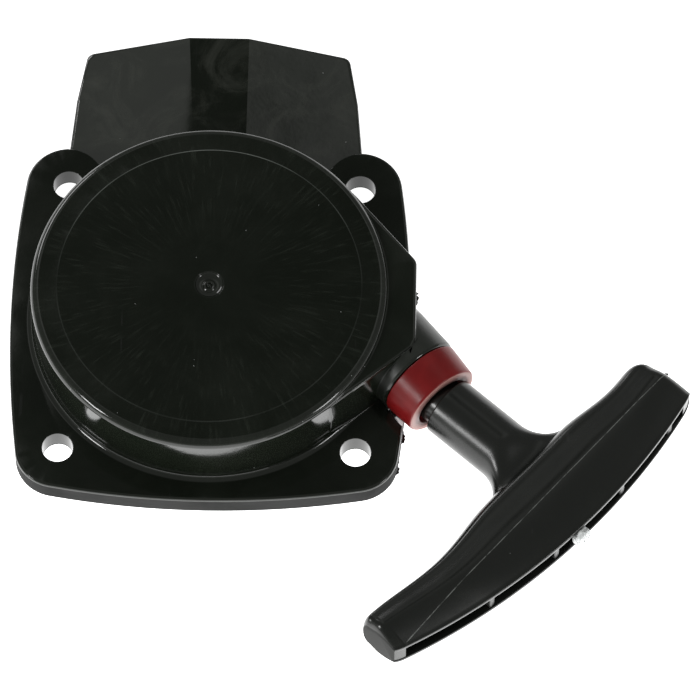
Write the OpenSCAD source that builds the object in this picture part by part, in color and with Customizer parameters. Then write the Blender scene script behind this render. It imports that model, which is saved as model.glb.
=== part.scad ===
/* [Mounting flange] */
// Distance between bolt holes, both ways
bolt_pitch = 72; // [71:0.5:74]
// Diameter of the bolt holes
bolt_d = 7.5; // [5:0.5:8]
// Thickness of the flange plate
flange_t = 6; // [5:0.5:6]
// Half width of the flange at the middle of its bowed sides
flange_side = 48.9; // [48:0.1:50]
// Distance from the reel axis to the middle of the bowed near edge
flange_near = 49.5; // [49:0.1:51]
// Radius of the plate round its bolt holes
corner_r = 10.4; // [10:0.1:11]
// Radius of the two far ears, where they stand above the shroud
ear_r = 9.8; // [9.5:0.1:10]

/* [Cup] */
// Outer radius of the cup
cup_r = 43.3; // [43:0.1:44]
// Height of the cup's closed face above the mounting plane
cup_h = 23.5; // [23.5:0.5:26]
// Wall thickness of the moulding
wall = 2.3; // [2:0.1:2.5]
// Radius of the fine ring line on the closed face
ring_line_r = 36.9; // [34:0.1:38]

/* [Rope outlet] */
// Direction of the outlet, in degrees from +X
outlet_angle = -49.7; // [-52:0.1:-48]
// Distance from the reel axis to the outlet's own axis
outlet_offset = 27.5; // [27:0.1:28]
// Height of the rope and outlet above the mounting plane
rope_z = 10.9; // [10.9:0.05:11.2]
// Outer diameter of the outlet tube
outlet_d = 21.5; // [20:0.1:21.5]
// Where the tube ends, measured along it from the reel axis
outlet_end = 46.8; // [46:0.1:47.5]
// Height of the square channel housing round the rope
channel_h = 21.8; // [21.8:0.1:22.2]
// Diameter of the rope
rope_d = 3; // [2.5:0.1:3]

/* [Shroud] */
// Distance from the reel axis to the shroud's far edge
shroud_far = 78.8; // [78:0.1:80]
// Half width of the shroud
shroud_half = 36.2; // [36:0.1:37]
// Height of the flat strip along the shroud's middle
shroud_h = 5.6; // [5:0.1:5.8]
// Tilt of the two side facets, in degrees
shroud_tilt = 5; // [3:0.5:6]

/* [Handle] */
// Direction of the stem at rest, in degrees from +X
handle_angle = -41; // [-43:0.1:-39]
// Diameter of the stem
stem_d = 15; // [14:0.1:16]
// Length of the grip on the near side of the stem's axis
grip_near = 58; // [55:0.1:60]
// Length of the grip on the far side of the stem's axis
grip_far = 39.3; // [38:0.1:50]
// Thickness of the grip along its ridge
grip_t = 15; // [14:0.1:16]
// Height of the open slot along the grip's outward face
slot_h = 5.4; // [5:0.1:6]

/* [Reel and spring] */
// Outer radius of the reel
reel_r = 33; // [32:0.5:34]
// Number of rope turns stored on the reel
rope_turns = 4; // [3:1:4]
// Number of turns in the mainspring
spring_turns = 10; // [8:1:10]
// Thickness of the mainspring strip
strip_t = 0.4; // [0.3:0.05:0.4]

/* [Hidden] */
$fn = 96;
eps = 0.01;
half_pitch = bolt_pitch / 2;
moulding = [0.07, 0.08, 0.07];
steel = [0.72, 0.73, 0.75];
nylon = [0.9, 0.9, 0.88];

// Ears at the two far bolt holes
ear_centre = [half_pitch + 0.9, half_pitch + 0.4];

// Cup
rim_round = 2;
ring_step = 0.12;
roof_t = 2.5;
ceiling_z = cup_h - roof_t;
cup_inner_r = cup_r - wall;
base_fillet = 1.6;
dimple_r = 3.4;
dimple_depth = 0.9;
pip_ring_r = 1.3;
pip_r = 0.4;

// Hollow post that the reel turns on, with the bush, washer and screw that hold it
post_r = 5;
post_end_z = 4;
screw_hole_r = 2.1;
screw_hole_top = 17.5;
bush_r = 6.5;
bush_top = 14.4;
post_root_r = 7;
post_rib_len = 12;
post_rib_t = 1.6;
running_gap = 0.05;
washer_r = 9;
washer_t = 0.8;
washer_z = post_end_z - 0.1 - washer_t;
screw_head_r = 4.6;
screw_head_t = 2.2;
screw_len = 12;

// Reel: one moulding with a rope groove, a long hub and a boss for each pawl
groove_w = rope_d + 0.8;
reel_flange_t = 2;
reel_low = rope_z - groove_w / 2 - reel_flange_t;
reel_high = rope_z + groove_w / 2 + reel_flange_t;
rope_pitch = rope_d + 0.1;
outer_turn_r = outlet_offset - rope_d - 0.25;
groove_floor_r = outer_turn_r - (rope_turns - 1) * rope_pitch - rope_pitch - rope_d / 2 - 0.1;
hub_r = 9;
hub_low = 6.4;
hub_high = 20.2;
anchor_pin_r = 0.8;
anchor_angle = 200;
pocket_r = 2.2;
pocket_at = 28.6;
reel_knot_angle = 62;
knot_depth = 2.2;

// Spring case, a thin steel cup under the roof
case_r = 34.5;
case_t = 0.6;
case_hole_r = 13.5;
case_high = ceiling_z - 0.15;
case_low = reel_high + 0.5;
strip_in_r = hub_r + 1.5;
strip_out_r = case_r - case_t - 0.8;
strip_low = case_low + 0.3;
strip_high = case_high - case_t - 0.25;
strip_curve = 1.6;
strip_steps = 30;

// Pawls, their pins and springs, and the guide that swings them
pin_circle_r = 19;
pin_r = 1.5;
pin_head_r = 2.6;
pin_head_t = 0.7;
pin_top = reel_low + reel_flange_t - 0.3;
pawl_low = 3.3;
pawl_t = 2;
pawl_len = 16;
pawl_half = 2.9;
coil_wire_r = 0.22;
coil_r = 2.2;
coil_turns = 2.25;
guide_low = 4.05;
guide_t = 1.25;
guide_r = 11;
guide_hole_at = 8.8;
guide_hole_r = 1;
finger_len = 16.4;
finger_w = 3;
finger_angle = -40;
friction_r = 8.3;
friction_wire_r = 0.4;
friction_z = 5.82;

// Outlet: tube, eyelet web, eyelet and bumper, all on the outlet's axis
channel_wall_u = 43.5;
channel_wall_n = 43.6;
channel_side_x = 50.1;
channel_corner_r = 3;
boss_start = 35;
tube_start = 20;
tube_round = 1.1;
web_start = 36.5;
web_end = 39.5;
eyelet_hole_r = 3.6;
eyelet_bore_r = 2.3;
eyelet_flange_r = 5.6;
bumper_w = 8.4;
bumper_r = 10.6;
bumper_taper = 0.6;
bumper_bore_r = 7.2;
bumper_neck_r = 8.2;
bumper_neck_bore_r = 5.5;
bumper_end = outlet_end + 0.05 + bumper_w;
bumper_round = 0.7;
bumper_clear = 0.7;

// Shroud: flat middle strip, tilted side facets, chamfered far corners
strip_half = 7.4;
far_corner = [32.7, 74.7];
shroud_draft = 1.2;
shroud_round = 2;
shroud_root_y = 30;
shroud_roof_t = 2;
facet_reach = 45;
shroud_rib_x = 22;
shroud_rib_t = 1.6;

// Rounding along the moulding's top edges, and how far its middle step sits in
edge_round = 0.7;
edge_mid = edge_round * 0.29;

// Handle: d runs along the stem from the bumper's face, e across it
nose_r = 6;
nose_len = 5;
shoulder_d = 1.6;
stem_bore_r = 2.1;
grip_apex_d = 48.3;
grip_apex_e = 4;
grip_arc_r = 172;
grip_inner = [[-grip_near, 25.3], [-33, 27.95], [-14, 26.4], [11, 26.8], [28, 28.65], [grip_far, 28]];
inner_round = 0.16;
ridge_at = 0.46;
shoulder_h = 0.88;
lip_half = 3.9;
// Ends: length of the rounding, thickness scale at the tip, the inner edge's draw-in, share of the lip kept
near_end = [2.6, 0.5, 3, 0.8];
far_end = [3.6, 0.36, 7, 0];
end_pull_out = 1.4;
near_wall = 2.8;
far_wall = 3.6;
far_skew = 1.9;
skew_len = 12;
grip_stations = 40;
section_steps = 14;
rib_e = [-31.5, -11.6, 11.6, 31.5];
rib_t = 1.6;
rib_back = 0.5;
slot_floor = 4.2;
knot_seat_d = 36;
plate_t = 1;
knot_e = -5;
knot_d = knot_seat_d + plate_t + 3;
knot_lobe_r = 2.35;
knot_lobe_e = 2.4;

// ---------------------------------------------------------------- helpers

function polar(r, a) = [r * cos(a), r * sin(a)];
function arc(c, r, a0, a1, steps) = [for (i = [0:steps]) c + polar(r, a0 + (a1 - a0) * i / steps)];
function ease(t) = (1 - cos(180 * t)) / 2;
function blend_keys(keys, x, i = 0) =
    x <= keys[0][0] ? keys[0][1] :
    i >= len(keys) - 1 ? keys[len(keys) - 1][1] :
    x <= keys[i + 1][0] ?
        keys[i][1] + (keys[i + 1][1] - keys[i][1]) * ease((x - keys[i][0]) / (keys[i + 1][0] - keys[i][0])) :
    blend_keys(keys, x, i + 1);

// Corner i of a convex outline, rounded to radius r, listed anticlockwise
function round_corner(p, i, r) =
    let (n = len(p), a = p[(i + n - 1) % n], b = p[i], c = p[(i + 1) % n])
    let (v = (a - b) / norm(a - b), w = (c - b) / norm(c - b))
    let (half = acos(v * w) / 2, mid = (v + w) / norm(v + w))
    let (centre = b + mid * r / sin(half), start = atan2(-v.y, -v.x) - 90)
    arc(centre, r, start, start + 180 - 2 * half, 6);
function round_all(p, r) = [for (i = [0:len(p) - 1]) each round_corner(p, i, r)];

// Outlet coordinates (u along the outlet, n across it) to plan coordinates
function outlet_point(u, n) =
    [u * cos(outlet_angle) - n * sin(outlet_angle), u * sin(outlet_angle) + n * cos(outlet_angle)];

module at_outlet(u = 0) {
    p = outlet_point(u, outlet_offset);
    translate([p.x, p.y, rope_z]) rotate([0, 90, outlet_angle]) children();
}

module at_handle() {
    p = outlet_point(bumper_end, outlet_offset);
    translate([p.x, p.y, rope_z]) rotate([0, 0, handle_angle]) children();
}

module ring_body(r_out, r_in, h) {
    difference() {
        cylinder(r = r_out, h = h);
        translate([0, 0, -1]) cylinder(r = r_in, h = h + 2);
    }
}

// Round wire along a path that lies nearly flat in XY
function path_dir(p, i) =
    let (d = p[min(i + 1, len(p) - 1)] - p[max(i - 1, 0)]) d / norm(d);
function wire_ring(p, i, r, sides) =
    let (t = path_dir(p, i), s = [-t.y, t.x, 0] / norm([t.x, t.y]), up = cross(t, s))
    [for (k = [0:sides - 1]) p[i] + r * (s * cos(360 * k / sides) + up * sin(360 * k / sides))];
module ringed_solid(rings) {
    n = len(rings);
    m = len(rings[0]);
    polyhedron(
        points = [for (ring = rings) each ring],
        faces = concat(
            [[for (k = [0:m - 1]) k]],
            [for (i = [0:n - 2], k = [0:m - 1])
                [i * m + k, (i + 1) * m + k, (i + 1) * m + (k + 1) % m, i * m + (k + 1) % m]],
            [[for (k = [m - 1:-1:0]) (n - 1) * m + k]]
        )
    );
}
module wire(path, r, sides = 8) {
    ringed_solid([for (i = [0:len(path) - 1]) wire_ring(path, i, r, sides)]);
}

// ---------------------------------------------------------------- housing

// Radius of a bowed edge whose middle is at distance reach and which runs
// tangent into a corner circle of radius r on the bolt hole
function bow_r(reach, r) =
    (pow(reach - half_pitch, 2) + half_pitch * half_pitch - r * r) / (2 * (reach - half_pitch - r));
side_bow = bow_r(flange_side, corner_r);
near_bow = bow_r(flange_near, corner_r);
side_turn = atan2(half_pitch, half_pitch - flange_side + side_bow);
near_turn = atan2(half_pitch, half_pitch - flange_near + near_bow);

// Right half of the bowed plate, from the middle of the near edge to the far ear
function plate_half(inset) = concat(
    arc([0, near_bow - flange_near], near_bow - inset, -90, -90 + near_turn, 8),
    arc([half_pitch, -half_pitch], corner_r - inset, -90 + near_turn, -side_turn, 12),
    arc([flange_side - side_bow, 0], side_bow - inset, -side_turn, side_turn, 16),
    arc([half_pitch, half_pitch], corner_r - inset, side_turn, 90, 12)
);
function mirror_x(p) = [for (i = [len(p) - 1:-1:0]) [-p[i].x, p[i].y]];
module plate_slice(z0, z1, inset) {
    translate([0, 0, z0]) linear_extrude(z1 - z0)
        polygon(concat(plate_half(inset), mirror_x(plate_half(inset))));
}

module flange_plate() {
    intersection() {
        hull() {
            plate_slice(0, flange_t - edge_round, 0);
            plate_slice(0, flange_t - edge_mid, edge_mid);
            plate_slice(0, flange_t, edge_round);
        }
        union() {
            translate([-60, -60, -1]) cube([120, 60 + half_pitch - 4, 20]);
            for (s = [0, 1]) mirror([s, 0, 0]) translate([ear_centre.x, ear_centre.y, -1]) {
                cylinder(r = ear_r, h = 20);
                translate([0, -10, 0]) cube([20, 30, 20]);
            }
        }
    }
}

module cup_outside() {
    rotate_extrude()
        polygon(concat(
            [[0, 0], [cup_r + base_fillet, 0], [cup_r + base_fillet, flange_t]],
            arc([cup_r + base_fillet, flange_t + base_fillet], base_fillet, 270, 180, 8),
            arc([cup_r - rim_round, cup_h - ring_step - rim_round], rim_round, 0, 90, 12),
            [[ring_line_r + 0.16, cup_h - ring_step], [ring_line_r, cup_h], [0, cup_h]]
        ));
}

module cup_inside() {
    round_r = 1.2;
    rotate_extrude()
        polygon(concat(
            [[0, -1], [cup_inner_r, -1]],
            arc([cup_inner_r - round_r, ceiling_z - round_r], round_r, 0, 90, 6),
            [[0, ceiling_z]]
        ));
}

// Square corner round the cup, tangent to it, cut off at one side
function channel_corners(inset) =
    let (u = channel_wall_u - inset, n = channel_wall_n - inset, x = channel_side_x - inset)
    let (c = cos(outlet_angle), s = sin(outlet_angle))
    [
        outlet_point(0, 0),
        outlet_point(u, 0),
        [x, (x * c - u) / -s],
        [x, (n + x * s) / c],
        outlet_point(0, n)
    ];
module channel_slice(z0, z1, inset) {
    translate([0, 0, z0]) linear_extrude(z1 - z0)
        polygon(round_all(channel_corners(inset), channel_corner_r - inset));
}
module channel_outside() {
    hull() {
        channel_slice(0, channel_h - edge_round, 0);
        channel_slice(0, channel_h - edge_mid, edge_mid);
        channel_slice(0, channel_h, edge_round);
    }
}

function shroud_outline(inset) =
    let (w = shroud_half - inset)
    [
        [-w, shroud_root_y], [w, shroud_root_y], [w, 48], [w - shroud_draft, 61.5],
        far_corner - [inset, inset],
        [strip_half, shroud_far - inset], [-strip_half, shroud_far - inset],
        [-far_corner.x + inset, far_corner.y - inset], [-w + shroud_draft, 61.5], [-w, 48]
    ];
module shroud_level(drop, inset, low) {
    edge_z = shroud_h - drop - (facet_reach - strip_half) * tan(shroud_tilt);
    intersection() {
        translate([0, 0, low]) linear_extrude(20) polygon(round_all(shroud_outline(inset), shroud_round));
        translate([0, 100, 0]) rotate([90, 0, 0]) linear_extrude(100)
            polygon([
                [-facet_reach, low], [facet_reach, low], [facet_reach, edge_z],
                [strip_half, shroud_h - drop], [-strip_half, shroud_h - drop], [-facet_reach, edge_z]
            ]);
    }
}
module shroud_outside() {
    hull() {
        shroud_level(edge_round, 0, 0);
        shroud_level(edge_mid, edge_mid, 0);
        shroud_level(0, edge_round, 0);
    }
}
module shroud_inside() {
    difference() {
        shroud_level(shroud_roof_t, wall, -1);
        cylinder(r = cup_r + 1.5, h = 40);
        for (s = [-1, 1]) translate([s * ear_centre.x, ear_centre.y, -2])
            cylinder(r = ear_r + 0.3, h = 20);
        for (x = [-shroud_rib_x, -strip_half, strip_half, shroud_rib_x])
            translate([x - shroud_rib_t / 2, 40, -2]) cube([shroud_rib_t, 60, 20]);
    }
}

// Pin that the reel turns on, moulded down from the roof
module post() {
    translate([0, 0, post_end_z]) cylinder(r = post_r, h = ceiling_z - post_end_z + 1);
    translate([0, 0, bush_top + 0.05]) cylinder(r = post_root_r, h = ceiling_z - bush_top);
    for (a = [0:60:300]) rotate(a) translate([0, -post_rib_t / 2, hub_high + 0.3])
        cube([post_rib_len, post_rib_t, ceiling_z - hub_high]);
}

// Tube round the rope's way out, with a rounded end
module outlet_tube() {
    r = outlet_d / 2;
    tube_len = outlet_end - tube_start;
    at_outlet(tube_start) rotate_extrude() polygon(concat(
        [[0, 0], [r, 0]],
        arc([r - tube_round, tube_len - tube_round], tube_round, 0, 90, 6),
        [[0, tube_len]]
    ));
}

// Round dish in the middle of the closed face, with a low ring and a pip on its floor
module gate_dimple() {
    floor_r = pip_ring_r + 0.3;
    translate([0, 0, cup_h]) rotate_extrude() polygon(concat(
        [[0, 1], [dimple_r + 0.05, 1]],
        [for (a = [0:10:90]) [floor_r + (dimple_r + 0.05 - floor_r) * cos(a), -dimple_depth * sin(a)]],
        [[pip_ring_r, -dimple_depth + 0.35]],
        [[pip_ring_r - 0.35, -dimple_depth + 0.35], [pip_ring_r - 0.5, -dimple_depth + 0.1]],
        [[pip_r + 0.1, -dimple_depth + 0.1], [pip_r, -dimple_depth + 0.4], [0, -dimple_depth + 0.45]]
    ));
}

module housing() {
    color(moulding) difference() {
        union() {
            difference() {
                union() {
                    flange_plate();
                    cup_outside();
                    channel_outside();
                    shroud_outside();
                    outlet_tube();
                }
                cup_inside();
                channel_slice(-1, channel_h - wall, wall);
                shroud_inside();
            }
            intersection() {
                at_outlet(boss_start) cylinder(d = outlet_d, h = web_end - boss_start + 5);
                cylinder(r = 100, h = channel_h);
            }
            post();
        }
        at_outlet(boss_start - 1) cylinder(r = eyelet_hole_r, h = 40);
        at_outlet(boss_start - 1) cylinder(r = eyelet_flange_r + 0.15, h = web_start - boss_start + 1);
        at_outlet(web_end) cylinder(r = bumper_neck_r + 0.05, h = 20);
        at_outlet(outlet_end) cylinder(r = bumper_r + bumper_clear, h = 20);
        for (x = [-1, 1], y = [-1, 1]) translate([x * half_pitch, y * half_pitch, -1])
            cylinder(d = bolt_d, h = 40);
        translate([0, 0, post_end_z - 1]) cylinder(r = screw_hole_r, h = screw_hole_top - post_end_z + 1);
        gate_dimple();
    }
}

// ---------------------------------------------------------------- fixed pieces

module post_bush() {
    color(steel) translate([0, 0, post_end_z]) ring_body(bush_r, post_r + 0.03, bush_top - post_end_z);
}

module retaining_washer() {
    color(steel) translate([0, 0, washer_z]) ring_body(washer_r, screw_hole_r + 0.3, washer_t);
}

module centre_screw() {
    top = washer_z - 0.05;
    color(steel) difference() {
        union() {
            translate([0, 0, top]) cylinder(r = screw_hole_r - running_gap, h = screw_len);
            rotate_extrude() polygon(concat(
                [[0, top - screw_head_t], [screw_head_r - 0.8, top - screw_head_t]],
                arc([screw_head_r - 0.8, top - screw_head_t + 0.8], 0.8, 270, 360, 5),
                [[screw_head_r, top], [0, top]]
            ));
        }
        for (a = [0, 90]) rotate(a) translate([-2.6, -0.45, top - screw_head_t - 1]) cube([5.2, 0.9, 2.3]);
    }
}

module spring_case() {
    color(steel) difference() {
        translate([0, 0, case_low]) cylinder(r = case_r, h = case_high - case_low);
        translate([0, 0, case_low - 1]) cylinder(r = case_r - case_t, h = case_high - case_low + 1 - case_t);
        translate([0, 0, case_low]) cylinder(r = case_hole_r, h = 20);
        rotate(-20) translate([case_r - 4, -2, case_low - 1]) cube([6, 4, 3]);
    }
}

// Flat spiral: close turns against the case, wider ones towards the hub
function strip_r(t) = strip_out_r - (strip_out_r - strip_in_r) * pow(1 - t, strip_curve);
function strip_edge(shift) =
    [for (i = [0:spring_turns * strip_steps])
        polar(strip_r(i / (spring_turns * strip_steps)) + shift, 360 * i / strip_steps)];
function reversed(p) = [for (i = [len(p) - 1:-1:0]) p[i]];
module mainspring() {
    color([0.42, 0.45, 0.5]) translate([0, 0, strip_low]) linear_extrude(strip_high - strip_low)
        polygon(concat(strip_edge(strip_t / 2), reversed(strip_edge(-strip_t / 2))));
}

module rope_eyelet() {
    color([0.8, 0.68, 0.38]) at_outlet(web_start - 0.9) rotate_extrude() polygon(concat(
        [[eyelet_bore_r + 0.9, 0], [eyelet_flange_r, 0.3], [eyelet_flange_r, 0.85]],
        [[eyelet_hole_r - 0.04, 0.85], [eyelet_hole_r - 0.04, web_end - web_start + 1.2]],
        arc([eyelet_bore_r + 0.5, web_end - web_start + 1.2], 0.5, 90, 180, 4),
        arc([eyelet_bore_r + 0.9, 0.9], 0.9, 180, 270, 4)
    ));
}

module rope_bumper() {
    color([0.5, 0.06, 0.08]) at_outlet(outlet_end + 0.05) rotate_extrude() polygon(concat(
        [[bumper_neck_bore_r, web_end - outlet_end + 0.3], [bumper_neck_r, web_end - outlet_end + 0.3]],
        [[bumper_neck_r, 0]],
        arc([bumper_r - bumper_round / 2, bumper_round / 2], bumper_round / 2, -90, 0, 4),
        arc([bumper_r - bumper_taper - bumper_round, bumper_w - bumper_round], bumper_round, 4, 90, 6),
        [[bumper_bore_r, bumper_w], [bumper_bore_r, 1.8], [bumper_neck_bore_r, 0.9]]
    ));
}

// ---------------------------------------------------------------- reel and drive

module reel() {
    color([0.16, 0.17, 0.17]) difference() {
        rotate_extrude() polygon([
            [0, hub_low], [hub_r + 4, hub_low], [hub_r + 4, reel_low], [reel_r - 0.6, reel_low],
            [reel_r, reel_low + 0.6], [reel_r, reel_low + reel_flange_t - 0.4],
            [reel_r - 0.6, reel_low + reel_flange_t],
            [groove_floor_r, reel_low + reel_flange_t], [groove_floor_r, reel_high - reel_flange_t],
            [reel_r - 0.6, reel_high - reel_flange_t], [reel_r, reel_high - reel_flange_t + 0.4],
            [reel_r, reel_high - 0.6], [reel_r - 0.6, reel_high],
            [hub_r + 1, reel_high], [hub_r, reel_high + 1], [hub_r, hub_high], [0, hub_high]
        ]);
        translate([0, 0, hub_low - 1]) cylinder(r = bush_r + running_gap, h = bush_top - hub_low + 1.02);
        translate([0, 0, bush_top]) cylinder(r = post_root_r + 0.3, h = 20);
        for (a = [0, 180]) rotate(a) translate([pin_circle_r, 0, hub_low - 1])
            cylinder(r = pin_r, h = pin_top + 0.1 - hub_low + 1);
        rotate(reel_knot_angle) translate([groove_floor_r - knot_depth, -2.2, rope_z - groove_w / 2])
            cube([5, 4.4, groove_w]);
        rotate(anchor_angle) translate([hub_r, 0, reel_high + 1.5]) cylinder(r = anchor_pin_r, h = 20);
        for (a = [20:60:320]) rotate(a) translate([pocket_at, 0, reel_low - 1])
            cylinder(r = pocket_r, h = 2.2);
    }
}

// Peg on the hub that the mainspring's inner end hooks over
module spring_anchor_pin() {
    color(steel) rotate(anchor_angle) translate([hub_r, 0, reel_high + 1.5])
        cylinder(r = anchor_pin_r - 0.02, h = hub_high - reel_high - 1.9);
}

function coil_turn_r(a) = outer_turn_r - rope_pitch * a / 360;
module rope_coil() {
    steps = rope_turns * 16;
    color(nylon) wire(
        [for (i = [0:steps]) let (a = 360 * rope_turns * i / steps)
            concat(polar(coil_turn_r(a), outlet_angle + 90 + a), [rope_z])],
        rope_d / 2
    );
}

module reel_knot() {
    color(nylon) rotate(reel_knot_angle) translate([groove_floor_r - knot_depth + 1.5, 0, rope_z])
        rotate([90, 0, 0]) cylinder(r = 1.45, h = 3.6, center = true);
}

module pawl_pins() {
    color(steel) for (a = [0, 180]) rotate(a) translate([pin_circle_r, 0, 0]) {
        translate([0, 0, pawl_low - 0.15 - pin_head_t]) cylinder(r = pin_head_r, h = pin_head_t);
        translate([0, 0, pawl_low - 0.2]) cylinder(r = pin_r - 0.02, h = pin_top - pawl_low + 0.2);
    }
}

// Pawl drawn for the pin on +X: it points to -Y and swings outwards
module pawl_blank() {
    translate([pin_circle_r, 0, pawl_low]) difference() {
        linear_extrude(pawl_t) polygon(concat(
            arc([0, 0], pawl_half + 0.6, 0, 180, 14),
            [[-pawl_half - 0.2, -5], [-pawl_half + 0.6, -9], [-pawl_half + 2.2, -13.5]],
            [[-0.2, -pawl_len], [3.2, -pawl_len + 1.2]],
            arc([1.2, -pawl_len + 3.4], 2.6, -40, 20, 4),
            [[pawl_half - 0.2, -9], [pawl_half + 0.5, -4]]
        ));
        translate([0, 0, -1]) cylinder(r = pin_r + running_gap, h = 10);
    }
}
module pawl_a() {
    color(steel) pawl_blank();
}
module pawl_b() {
    color(steel) rotate(180) pawl_blank();
}

module pawl_spring_blank() {
    turn_steps = 14;
    steps = floor(coil_turns * turn_steps);
    low = pawl_low + pawl_t + 0.3;
    rise = 0.5;
    end_a = 360 * steps / turn_steps;
    color(steel) translate([pin_circle_r, 0, low]) wire(
        concat(
            [[coil_r, -6, 0], [coil_r, -3, 0]],
            [for (i = [0:steps]) concat(polar(coil_r, 360 * i / turn_steps), [rise * i / turn_steps])],
            [concat(polar(coil_r, end_a) + polar(4, end_a + 90), [rise * coil_turns])]
        ),
        coil_wire_r, 6
    );
}
module pawl_spring_a() {
    pawl_spring_blank();
}
module pawl_spring_b() {
    rotate(180) pawl_spring_blank();
}

module friction_spring() {
    color(steel) translate([0, 0, friction_z]) rotate(15) rotate_extrude(angle = 330)
        translate([friction_r, 0]) circle(r = friction_wire_r, $fn = 24);
}

// Disc on the bush with a finger behind each pawl
module pawl_guide() {
    color([0.85, 0.83, 0.76]) translate([0, 0, guide_low]) difference() {
        union() {
            cylinder(r = guide_r, h = guide_t);
            for (a = [0, 180]) rotate(a + finger_angle) {
                translate([0, -finger_w / 2, 0]) cube([finger_len - finger_w / 2, finger_w, guide_t]);
                translate([finger_len - finger_w / 2, 0, 0]) cylinder(r = finger_w / 2, h = guide_t);
            }
        }
        translate([0, 0, -1]) cylinder(r = bush_r + 0.08, h = 10);
        for (a = [50, 230]) rotate(a) translate([guide_hole_at, 0, -1]) cylinder(r = guide_hole_r, h = 10);
    }
}

// ---------------------------------------------------------------- rope and handle

// Quarter turn round the stored coil, then straight out through the tube
module rope_lead() {
    color(nylon) wire(
        concat(
            [for (a = [90:-10:10]) concat(polar(outlet_offset, outlet_angle + 90 + a), [rope_z])],
            [for (u = [0:7:42]) concat(outlet_point(u, outlet_offset), [rope_z])],
            [concat(outlet_point(bumper_end - 6.2, outlet_offset), [rope_z])]
        ),
        rope_d / 2
    );
}

function grip_outer_d(e) = grip_apex_d - grip_arc_r + sqrt(pow(grip_arc_r, 2) - pow(e - grip_apex_e, 2));
function grip_inner_d(e) = blend_keys(grip_inner, e);
// Half thickness at fraction s of the way from the grip's inner edge to its open face
function grip_half(s) =
    s < inner_round ? grip_t / 2 * shoulder_h * sqrt(1 - pow(1 - s / inner_round, 2)) :
    s < ridge_at ?
        grip_t / 2 * (shoulder_h + (1 - shoulder_h) * ease((s - inner_round) / (ridge_at - inner_round))) :
    grip_t / 2 - (grip_t / 2 - lip_half) * pow((s - ridge_at) / (1 - ridge_at), 1.5);
// Closer steps near the rounded inner edge
function section_s(j) = pow(j / section_steps, 1.8);
// Sections gather towards both ends of the grip
function station_e(i) = -grip_near + (grip_near + grip_far) * ease(i / grip_stations);
// Thickness scale at a distance from an end
function end_curve(distance, shape) =
    let (m = max(0, distance) / shape[0])
    m >= 1 ? 1 : shape[1] + (1 - shape[1]) * sqrt(1 - pow(1 - m, 2));
function end_scale(e) = min(end_curve(e + grip_near, near_end), end_curve(grip_far - e, far_end));
// Half thickness where the end's scale is k: the lip keeps a share of its thickness
function end_half(s, k, kept) = grip_half(s) * (1 - (1 - k) * (1 - kept * s * s));
// The far end runs further out at the open face than at the inner edge
function end_lean(e) = far_skew * ease(max(0, min(1, (e - grip_far) / skew_len + 1)));
function grip_section(i) =
    let (e = station_e(i), k = end_scale(e), lean = end_lean(e), shape = e < 0 ? near_end : far_end)
    let (a = grip_inner_d(e) + (1 - k) * shape[2], b = grip_outer_d(e + lean) - (1 - k) * end_pull_out)
    concat(
        [for (j = [section_steps:-1:1]) let (q = section_s(j))
            [a + (b - a) * q, e + lean * q, -end_half(q, k, shape[3])]],
        [for (j = [0:section_steps]) let (q = section_s(j))
            [a + (b - a) * q, e + lean * q, end_half(q, k, shape[3])]]
    );
module grip_solid() {
    ringed_solid([for (i = [0:grip_stations]) grip_section(i)]);
}
module grip_pocket() {
    e_low = -grip_near + near_wall;
    e_high = grip_far - far_wall;
    steps = 16;
    inner = [for (i = [0:steps]) let (e = e_low + (e_high - e_low) * i / steps)
        [max(grip_inner_d(e) + slot_floor, abs(e) < 9 ? knot_seat_d : 0), e]];
    translate([0, 0, -slot_h / 2]) difference() {
        linear_extrude(slot_h) polygon(concat([[60, e_high], [60, e_low]], inner));
        for (e = rib_e) translate([0, e - rib_t / 2, -1])
            cube([grip_outer_d(e) - rib_back, rib_t, slot_h + 2]);
    }
}
module stem() {
    flare_d = 19;
    flare_r = 8.4;
    root_d = 34;
    root_half = 4.4;
    rotate([0, 90, 0]) rotate_extrude() polygon(concat(
        [[0, -nose_len], [nose_r - 1, -nose_len]],
        arc([nose_r - 1, -nose_len + 1], 1, 270, 360, 5),
        [[nose_r, shoulder_d], [stem_d / 2 - 0.4, shoulder_d], [stem_d / 2, shoulder_d + 0.4]],
        [[stem_d / 2, flare_d], [0, flare_d]]
    ));
    // The stem widens like a trumpet, flattened above and below to the grip's thickness
    intersection() {
        rotate([0, 90, 0]) rotate_extrude() polygon(concat(
            [[0, flare_d - eps], [stem_d / 2, flare_d - eps]],
            arc([stem_d / 2 + flare_r, flare_d], flare_r, 180, 90, 10),
            [[stem_d / 2 + flare_r, root_d], [0, root_d]]
        ));
        rotate([90, 0, 0]) linear_extrude(40, center = true) polygon([
            [flare_d - 1, -stem_d / 2], [flare_d, -stem_d / 2], [flare_d + flare_r, -root_half],
            [root_d, -root_half], [root_d, root_half],
            [flare_d + flare_r, root_half], [flare_d, stem_d / 2], [flare_d - 1, stem_d / 2]
        ]);
    }
}
module handle_grip() {
    color(moulding) at_handle() difference() {
        union() {
            grip_solid();
            stem();
        }
        grip_pocket();
        rotate([0, 90, 0]) translate([0, 0, -10]) cylinder(r = stem_bore_r, h = 50);
    }
}

module rope_in_stem() {
    color(nylon) at_handle() rotate([0, 90, 0]) translate([0, 0, -nose_len - 0.5])
        cylinder(d = rope_d, h = nose_len + knot_seat_d + plate_t + 0.6);
}

// Oblong steel plate that the rope's knot pulls against
module knot_plate() {
    color(steel) at_handle() translate([knot_seat_d + 0.05, 0, 0]) difference() {
        translate([0, -5, -slot_h / 2 + 0.2]) cube([plate_t, 10, slot_h - 0.4]);
        translate([-1, 0, 0]) rotate([0, 90, 0]) cylinder(d = rope_d + 0.3, h = 5);
    }
}

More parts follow.
